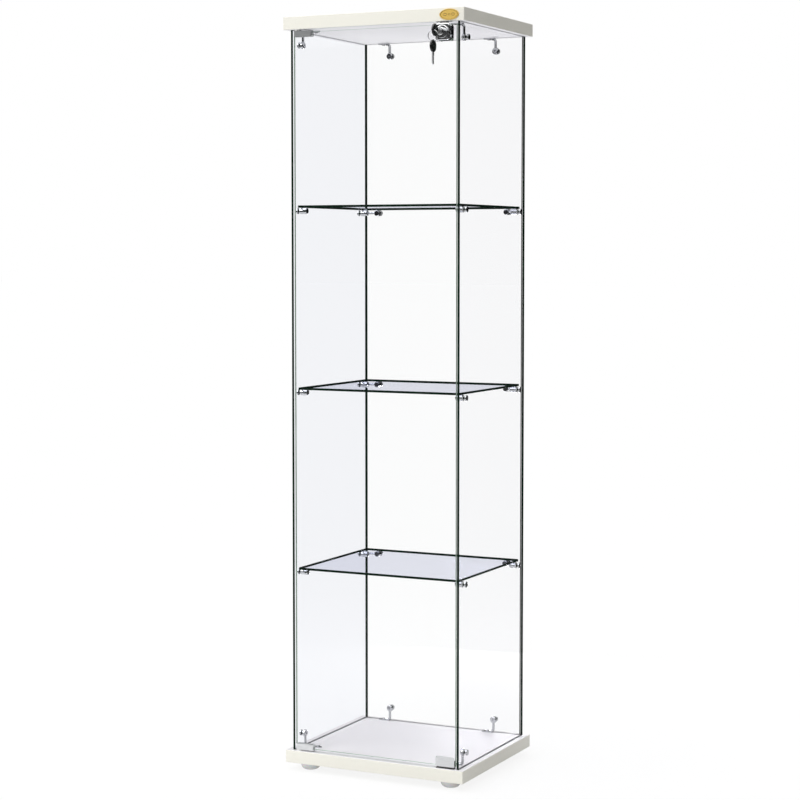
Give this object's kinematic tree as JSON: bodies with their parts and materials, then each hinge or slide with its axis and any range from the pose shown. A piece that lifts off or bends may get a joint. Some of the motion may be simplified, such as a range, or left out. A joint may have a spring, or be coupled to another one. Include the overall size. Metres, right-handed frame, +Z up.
{
  "type": "tower display case",
  "caption": "Tall free-standing glass display case with shelves, pale boards at base and top, a pivot-hung locking glass door and domed feet.",
  "frame": {"origin": "on the floor, under the middle of the base board, between the four feet", "axes": "+X to the viewer's right when facing the door, +Y to the back, +Z up; the door faces -Y"},
  "size_m": [0.425, 0.426, 1.63],
  "materials": {
    "clear_glass": "clear float glass, polished green edge",
    "white_foil_board": "white melamine foil on particle board",
    "grey_plastic": "translucent grey, smooth",
    "clear_soft_plastic": "clear soft vinyl",
    "black_rubber": "black",
    "white_nylon": "moulded",
    "black_plastic": "moulded, semi-gloss",
    "black_ferrite": "plastic-coated magnet",
    "gilt_metal": "gilt, satin",
    "satin_zinc": "satin",
    "steel": "plated steel",
    "brass_plug": "nickel-plated brass",
    "chrome_fitting": "polished chrome plate"
  },
  "bodies": {
    "cabinet": {"back_glass_panel": "clear_glass", "badge": "gilt_metal", "base_board": "white_foil_board", "bracket_screws": "chrome_fitting", "catch_magnet": "black_ferrite", "foot_screws": "steel", "front_left_foot": "grey_plastic", "front_right_foot": "grey_plastic", "glass_bolts": "chrome_fitting", "glass_washers": "clear_soft_plastic", "left_glass_panel": "clear_glass", "lock_strike": "steel", "lower_back_left_bracket": "chrome_fitting", "lower_back_right_bracket": "chrome_fitting", "lower_hinge_bush": "white_nylon", "lower_left_bracket": "chrome_fitting", "lower_left_corner_connector": "chrome_fitting", "lower_right_bracket": "chrome_fitting", "lower_right_corner_connector": "chrome_fitting", "lower_shelf": "clear_glass", "lower_shelf_studs": "chrome_fitting", "middle_left_corner_connector": "chrome_fitting", "middle_right_corner_connector": "chrome_fitting", "middle_shelf": "clear_glass", "middle_shelf_studs": "chrome_fitting", "rear_left_foot": "grey_plastic", "rear_right_foot": "grey_plastic", "right_glass_panel": "clear_glass", "shelf_pads": "clear_soft_plastic", "strike_screws": "steel", "top_board": "white_foil_board", "upper_back_left_bracket": "chrome_fitting", "upper_back_right_bracket": "chrome_fitting", "upper_hinge_bush": "white_nylon", "upper_left_bracket": "chrome_fitting", "upper_left_corner_connector": "chrome_fitting", "upper_right_bracket": "chrome_fitting", "upper_right_corner_connector": "chrome_fitting", "upper_shelf": "clear_glass", "upper_shelf_studs": "chrome_fitting"},
    "door": {"door_glass": "clear_glass", "upper_hinge_clamp": "satin_zinc", "lower_hinge_clamp": "satin_zinc", "hinge_pins": "steel", "hinge_grub_screws": "steel", "hinge_pads": "clear_soft_plastic", "lock_housing": "chrome_fitting", "lock_back_plate": "chrome_fitting", "lock_gasket": "black_rubber", "lock_screws": "steel", "catch_plate": "satin_zinc", "catch_liner": "black_rubber"},
    "lock_cylinder": {"lock_plug": "brass_plug"},
    "bolt": {"lock_bolt": "steel"},
    "key": {"key_blade": "steel", "key_bow": "black_plastic"},
    "ring": {"key_ring": "steel"},
    "spare_key": {"spare_key_blade": "steel", "spare_key_bow": "black_plastic"}
  },
  "joints": [
    {"name": "door_swing", "type": "hinge", "parent": "cabinet", "child": "door", "pos_m": [-0.183, -0.17, 0.044], "axis": [0, 0, -1], "range_deg": [0, 130]},
    {"name": "lock_turn", "type": "hinge", "parent": "door", "child": "lock_cylinder", "pos_m": [0.165, -0.19, 1.5815], "axis": [0, 1, 0], "range_deg": [0, 90]},
    {"name": "bolt_throw", "type": "slide", "parent": "door", "child": "bolt", "axis": [0, 0, 1], "range_m": [0, 0.00623]},
    {"name": "key_draw", "type": "slide", "parent": "lock_cylinder", "child": "key", "axis": [0, -1, 0], "range_m": [0, 0.018]},
    {"name": "ring_swing", "type": "hinge", "parent": "key", "child": "ring", "pos_m": [0.165, -0.2305, 1.5802], "axis": [-1, 0, 0], "range_deg": [-20, 60]},
    {"name": "spare_key_swing", "type": "hinge", "parent": "ring", "child": "spare_key", "pos_m": [0.165, -0.2305, 1.5582], "axis": [-1, 0, 0], "range_deg": [-20, 60]}
  ],
  "couplings": [
    {"joint": "bolt_throw", "follows": "lock_turn", "m_per_rad": 0.0039614}
  ]
}
